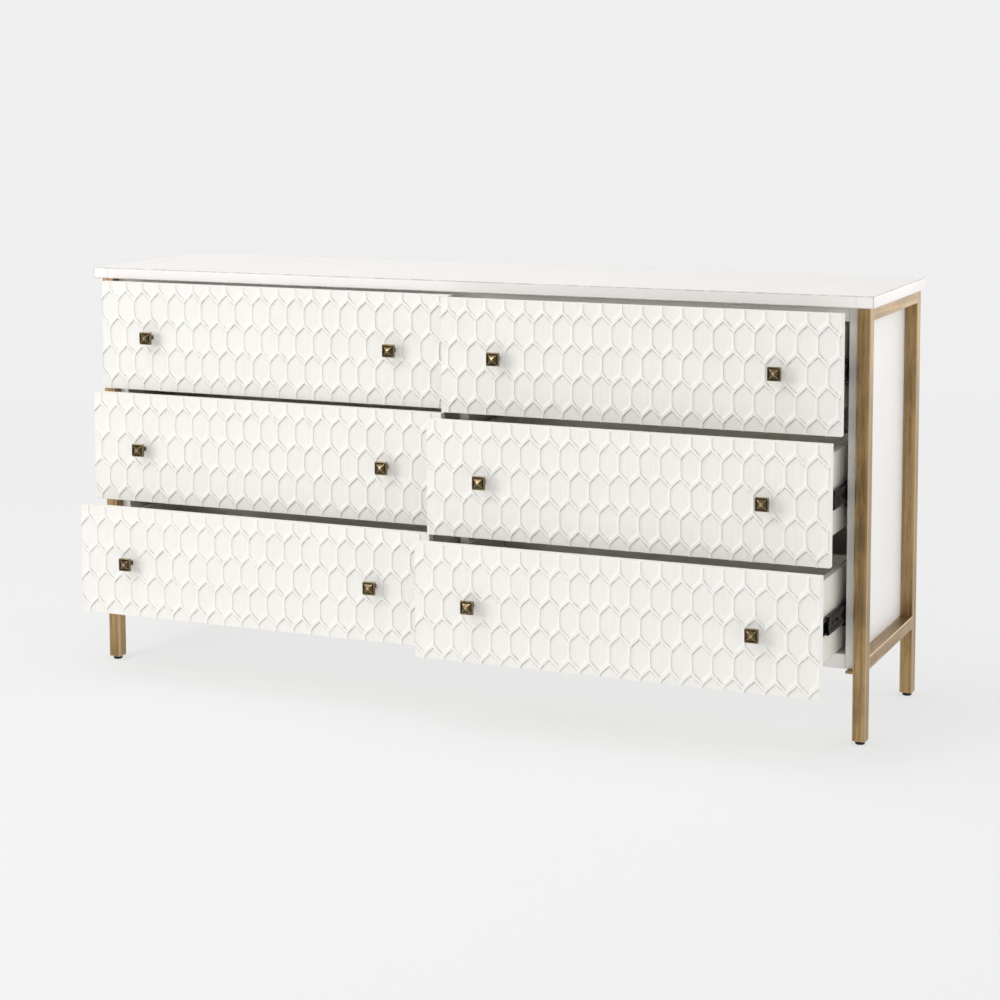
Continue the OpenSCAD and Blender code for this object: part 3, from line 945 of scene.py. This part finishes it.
def make_front(drawer, seed):
    """A carved face cut off at the board's edges, with eased arrises, sides and a flat back."""
    low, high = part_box(f"{drawer}_front")
    rng = np.random.default_rng(seed)
    points, faces, wash_and_shade, rim = carved_face(high.z - low.z, PATTERN_START[drawer], rng)
    mesh = bpy.data.meshes.new(f"{drawer}_carved_front")
    mesh.from_pydata(points + np.array(low), [], faces)
    mesh.attributes.new("cut", "FLOAT", "POINT").data.foreach_set("value", wash_and_shade.astype(np.float32))
    mesh.attributes.new("wear", "FLOAT", "POINT").data.foreach_set("value", rim.astype(np.float32))
    shape = bmesh.new()
    shape.from_mesh(mesh)
    bmesh.ops.remove_doubles(shape, verts=shape.verts, dist=WELD)
    ends = {(0, low.x): -1, (0, high.x): 1, (2, low.z): -1, (2, high.z): 1}
    for (axis, place), way in ends.items():
        normal = Vector((0, 0, 0))
        normal[axis] = way
        cut = Vector((0, 0, 0))
        cut[axis] = place - way * ARRIS
        bmesh.ops.bisect_plane(shape, geom=shape.verts[:] + shape.edges[:] + shape.faces[:],
                               dist=TOUCH, plane_co=cut, plane_no=normal, clear_outer=True)
    wash_and_shade_weight = shape.verts.layers.float["cut"]
    for step_out, y in ((1, None), (0, high.y - ARRIS), (-1, high.y)):
        border = [e for e in shape.edges if e.is_boundary]
        made = bmesh.ops.extrude_edge_only(shape, edges=border)["geom"]
        for vert in (v for v in made if isinstance(v, bmesh.types.BMVert)):
            vert[wash_and_shade_weight] = 0
            if y is None:
                vert.co.y += ARRIS
            else:
                vert.co.y = y
            for (axis, place), way in ends.items():
                edge = place - way * (ARRIS if step_out == 1 else 0)
                if abs(vert.co[axis] - edge) < 0.1 * MM:
                    vert.co[axis] += way * step_out * ARRIS
    shape.faces.new(ordered_border(shape))
    bmesh.ops.recalc_face_normals(shape, faces=shape.faces)
    shape.to_mesh(mesh)
    shape.free()
    mesh_piece(mesh, f"{drawer}_carved_front", f"{drawer}_drawer", "carved_front",
               [f"{drawer}_front"], crease=38)


def ordered_border(shape):
    """The vertices of the one open edge loop, in order."""
    edge = next(e for e in shape.edges if e.is_boundary)
    border = {e for e in shape.edges if e.is_boundary}
    loop = [edge.verts[0]]
    vert = edge.verts[1]
    while vert is not loop[0]:
        loop.append(vert)
        edge = next(e for e in vert.link_edges if e in border and e is not edge)
        vert = edge.other_vert(vert)
    return loop


# Knob rings from the drawer front outwards, in mm: shape, half size, height and edge weight, which
# is above 0 where the arrises are polished and carry a painted highlight, and below 0 where grime stays
STEM = 5.5
PLATE = 12.5
RIM_TOP = 24.0  # height above which the pyramid's arrises are polished, with a painted highlight
KNOB_RINGS = [
    ("round", STEM, -3.0, 0), ("round", STEM, 0.4, 0), ("round", STEM, 15.6, 0), ("round", 6.1, 17.2, 0.3),
    ("round", 7.6, 17.9, 0.2), ("square", 11.6, 18.0, 0.2), ("square", 12.3, 18.25, 0.5),
    ("square", PLATE, 18.9, 0.3), ("square", PLATE, 20.0, 0), ("square", PLATE, 22.2, 0),
    ("square", PLATE, 23.3, 0.35), ("square", 12.25, 23.85, 0.4), ("square", 11.8, 24.0, 0.1),
    ("square", 10.2, 24.0, 0), ("square", 9.7, 23.7, -0.3), ("square", 9.4, 22.8, -0.7),
    ("square", 8.9, 22.8, -0.7), ("square", 8.5, 23.7, -0.25), ("square", 7.9, 24.2, 0),
    ("square", 4.4, 26.0, 0), ("square", 0.9, 27.75, 0.6), ("square", 0.25, 28.0, 0.9),
]
KNOB_SCREW = (4 * MM, 2.5 * MM, 1.8 * MM)  # radius, height and recess of its head


def knob():
    """Square plate with a rim and a low pyramid, on a round stem. Its third axis points out."""
    drawn = 15 * MM  # half size that the outline is drawn at
    corners = [(-drawn, -drawn), (drawn, -drawn), (drawn, drawn), (-drawn, drawn)]
    outline, wear = rounded_outline(corners, 0.8 * MM)
    outline /= drawn
    around = outline / np.linalg.norm(outline, axis=1)[:, None]
    points, weights = [], []
    for form, half, height, arris in KNOB_RINGS:
        ring = (around if form == "round" else outline) * half * MM
        points.append(np.column_stack([ring, np.full(len(ring), height * MM)]))
        polish_and_highlight = 0.8 if height > RIM_TOP else 0.4
        upright = wear * (polish_and_highlight if form == "square" and arris >= 0 else 0)
        weights.append(np.maximum(upright, arris) if arris >= 0 else upright + arris)
    return np.concatenate(points), bridge(len(outline), len(KNOB_RINGS)), np.concatenate(weights)


def make_knobs():
    for drawer in DRAWERS:
        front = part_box(f"{drawer}_front")[0].y
        back = min(high.y for low, high in solids(f"{drawer}_box_ends"))
        shape, screws = Shape(), Shape()
        places = sorted({(round((low.x + high.x) / 2, 4), round((low.z + high.z) / 2, 4))
                         for low, high in solids(f"{drawer}_knobs")})
        for x, z in places:
            points, faces, wear = knob()
            shape.add(placed(points, (x, front, z), (1, 0, 0), (0, 0, 1)), faces, wear)
            points, faces, wear = screw_head(*KNOB_SCREW)
            screws.add(placed(points, (x, back, z), (-1, 0, 0), (0, 0, 1)), faces, wear)
        shape.piece(f"{drawer}_pyramid_knobs", f"{drawer}_drawer", "antique_brass", "antique_brass",
                    [f"{drawer}_knobs"], crease=28)
        screws.piece(f"{drawer}_knob_screws", f"{drawer}_drawer", "screw_steel", "screw_steel")


# ---- room ----

FLOOR_RADIUS = 80
BACKDROP = 0.865  # brightness of the far floor and of the air above it
FLOOR_PAINT = 0.80
FLOOR_GLOW = 0.66  # share of the floor's light that shadows don't take away
GLOW_LEVEL = 0.92  # brightness of that share near the dresser
FAR_FROM, FAR_TO = 1.3, 4.6  # the floor fades into the backdrop between these distances
APRON_FROM, APRON_TO = -1.8, -6.5  # in front of the dresser, past the camera's view, its glow darkens, so the brass and knobs reflect a darker floor
APRON_LEVEL = 0.50


def make_floor():
    bpy.ops.mesh.primitive_circle_add(vertices=96, radius=FLOOR_RADIUS, fill_type="NGON")
    floor = bpy.context.object
    floor.name = "floor"
    s = Shader("floor_paint_and_glow")
    distance = s.node("ShaderNodeVectorMath", operation="LENGTH")
    s.tree.links.new(s.object_point, distance.inputs[0])
    far = s.ramp(distance.outputs["Value"], FAR_FROM, FAR_TO)
    place = s.node("ShaderNodeSeparateXYZ")
    s.tree.links.new(s.object_point, place.inputs[0])
    apron = s.ramp(place.outputs["Y"], APRON_FROM, APRON_TO)
    paint = s.node("ShaderNodeBsdfDiffuse")
    pale, dull = (FLOOR_PAINT,) * 3, (FLOOR_PAINT * 0.985,) * 3
    s.put(paint.inputs["Color"], s.mix(s.noise(3, detail=2), pale, dull))
    # The floor glows. Near the dresser this glow lights it from below and lifts the shadow under it.
    glow = s.node("ShaderNodeEmission")
    plain = s.mix(far, (GLOW_LEVEL,) * 3, (BACKDROP,) * 3)
    s.put(glow.inputs["Color"], s.mix(apron, plain, (APRON_LEVEL,) * 3))
    both = s.node("ShaderNodeMixShader")
    s.put(both.inputs[0], s.ramp(far, 0, 1, FLOOR_GLOW, 1))
    s.tree.links.new(paint.outputs[0], both.inputs[1])
    s.tree.links.new(glow.outputs[0], both.inputs[2])
    s.tree.links.new(both.outputs[0], s.tree.nodes["Material Output"].inputs["Surface"])
    floor.data.materials.append(s.material)


def area_light(name, place, target, size, power):
    data = bpy.data.lights.new(name, "AREA")
    data.shape = "RECTANGLE"
    data.size, data.size_y = size
    data.energy = power
    light = bpy.data.objects.new(name, data)
    light.location = place
    light.rotation_euler = (Vector(target) - Vector(place)).to_track_quat("-Z", "Y").to_euler()
    light.visible_camera = False
    bpy.context.scene.collection.objects.link(light)


SIDE_LEVEL = 1.35  # brightness of the air to the right, out of the camera's view
OVERHEAD_LEVEL = 0.52  # brightness of the air high above
FRONT_LEVEL = 0.80  # brightness of the air on the camera's side


def make_light():
    """Air that is brighter or darker by direction, and five soft lights."""
    world = bpy.data.worlds.new("studio")
    world.use_nodes = True
    tree = world.node_tree
    way = tree.nodes.new("ShaderNodeSeparateXYZ")
    tree.links.new(tree.nodes.new("ShaderNodeTexCoord").outputs["Generated"], way.inputs[0])
    level = BACKDROP
    for axis, start, end, to_level in (("X", -0.15, 0.30, SIDE_LEVEL), ("Z", 0.20, 0.65, OVERHEAD_LEVEL),
                                       ("Y", 0.35, -0.45, FRONT_LEVEL)):
        share = tree.nodes.new("ShaderNodeMapRange")
        share.interpolation_type = "SMOOTHSTEP"
        tree.links.new(way.outputs[axis], share.inputs["Value"])
        share.inputs["From Min"].default_value = start
        share.inputs["From Max"].default_value = end
        blend = tree.nodes.new("ShaderNodeMix")  # its plain numbers are sockets 2 and 3
        tree.links.new(share.outputs[0], blend.inputs[0])
        blend.inputs[3].default_value = to_level
        if level is BACKDROP:
            blend.inputs[2].default_value = level
        else:
            tree.links.new(level, blend.inputs[2])
        level = blend.outputs[0]
    tree.links.new(level, tree.nodes["Background"].inputs["Strength"])
    tree.nodes["Background"].inputs["Color"].default_value = (1, 1, 1, 1)
    bpy.context.scene.world = world
    middle = (cad_low + cad_high) / 2
    area_light("key", (-1.8, -3.5, 3.5), middle, (1.0, 1.0), 30)
    area_light("front", (-2.7, -4.0, 1.3), middle, (2.0, 1.0), 42)
    area_light("overhead", (-0.7, -0.6, 3.6), middle, (3.0, 1.8), 28)
    area_light("side", (3.6, 0.9, 1.5), middle, (1.8, 1.8), 15)
    area_light("back", (2.2, 3.2, 0.7), middle, (2.0, 1.2), 6)
    bpy.context.scene.view_settings.view_transform = "Standard"


make_camera()
make_top()
make_boards()
make_end_frames()
make_glides()
make_case_screws()
make_slides()
make_slide_screws()
make_boxes()
for index, drawer in enumerate(DRAWERS):
    make_front(drawer, seed=11 + index)
make_knobs()
make_floor()
make_light()
